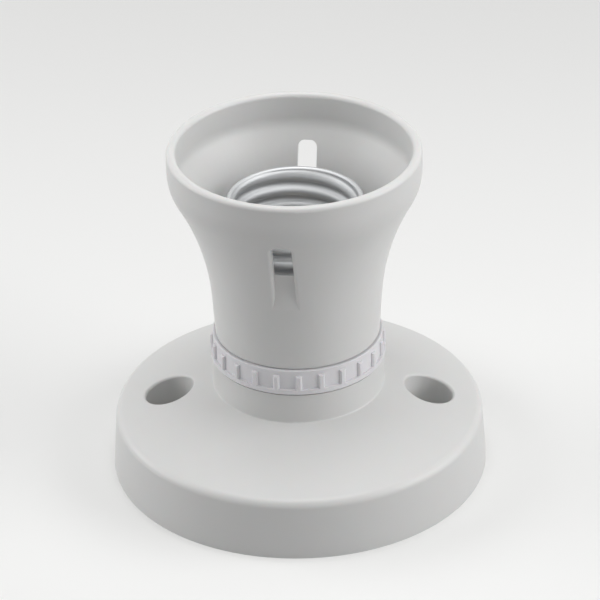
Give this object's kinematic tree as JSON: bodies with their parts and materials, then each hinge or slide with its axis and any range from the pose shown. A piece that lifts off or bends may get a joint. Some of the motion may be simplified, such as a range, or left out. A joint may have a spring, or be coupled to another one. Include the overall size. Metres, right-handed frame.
{
  "type": "surface-mount lamp holder",
  "caption": "Round surface-mount holder for a screw-cap lamp, with a domed screw-down base, a ribbed lock ring, a flared slotted skirt and a metal screw shell.",
  "frame": {"origin": "centre of the mounting plane, on the lamp axis", "axes": "+Z out of the mounting plane along the lamp axis, X through the two screw wells"},
  "size_m": [0.0812, 0.0812, 0.0754],
  "materials": {
    "white_moulding": "moulded, satin",
    "ring_moulding": "moulded, satin",
    "insulator": "moulded, matt",
    "shell_metal": "rolled, bright",
    "brass": "pressed",
    "screw_steel": "zinc plated"
  },
  "bodies": {
    "base": {"base": "white_moulding", "insulator": "insulator", "screw_shell": "shell_metal", "shell_rivets": "brass", "contact_rivet": "brass", "neutral_strip": "brass", "live_strip": "brass", "core_screws": "screw_steel"},
    "skirt": {"skirt": "white_moulding"},
    "lock_ring": {"lock_ring": "ring_moulding"},
    "centre_contact": {"centre_contact": "brass"},
    "neutral_clamp": {"neutral_clamp_washer": "screw_steel"},
    "neutral_screw": {"neutral_terminal_screw": "screw_steel"},
    "live_clamp": {"live_clamp_washer": "screw_steel"},
    "live_screw": {"live_terminal_screw": "screw_steel"}
  },
  "joints": [
    {"name": "skirt_lift", "type": "slide", "parent": "base", "child": "skirt", "axis": [0, 0, 1], "range_m": [0, 0.0028]},
    {"name": "ring_turn", "type": "hinge", "parent": "skirt", "child": "lock_ring", "pos_m": [0, 0, 0.0292], "axis": [0, 0, 1], "range_deg": [0, 505]},
    {"name": "centre_contact_press", "type": "hinge", "parent": "base", "child": "centre_contact", "pos_m": [0, -0.0042, 0.03955], "axis": [-1, 0, 0], "range_deg": [0, 12], "stiffness_Nm_per_rad": 0.2},
    {"name": "neutral_clamp_slide", "type": "slide", "parent": "base", "child": "neutral_clamp", "axis": [0, 0, -1], "range_m": [0, 0.0025]},
    {"name": "neutral_screw_turn", "type": "hinge", "parent": "neutral_clamp", "child": "neutral_screw", "pos_m": [0, 0.0163, 0.009], "axis": [0, 0, -1], "range_deg": [0, 1501]},
    {"name": "live_clamp_slide", "type": "slide", "parent": "base", "child": "live_clamp", "axis": [0, 0, -1], "range_m": [0, 0.0025]},
    {"name": "live_screw_turn", "type": "hinge", "parent": "live_clamp", "child": "live_screw", "pos_m": [0, -0.0163, 0.009], "axis": [0, 0, -1], "range_deg": [0, 1501]}
  ],
  "couplings": [
    {"joint": "ring_turn", "follows": "skirt_lift", "rad_per_m": 3141.6},
    {"joint": "neutral_screw_turn", "follows": "neutral_clamp_slide", "rad_per_m": 10472},
    {"joint": "live_screw_turn", "follows": "live_clamp_slide", "rad_per_m": 10472}
  ]
}
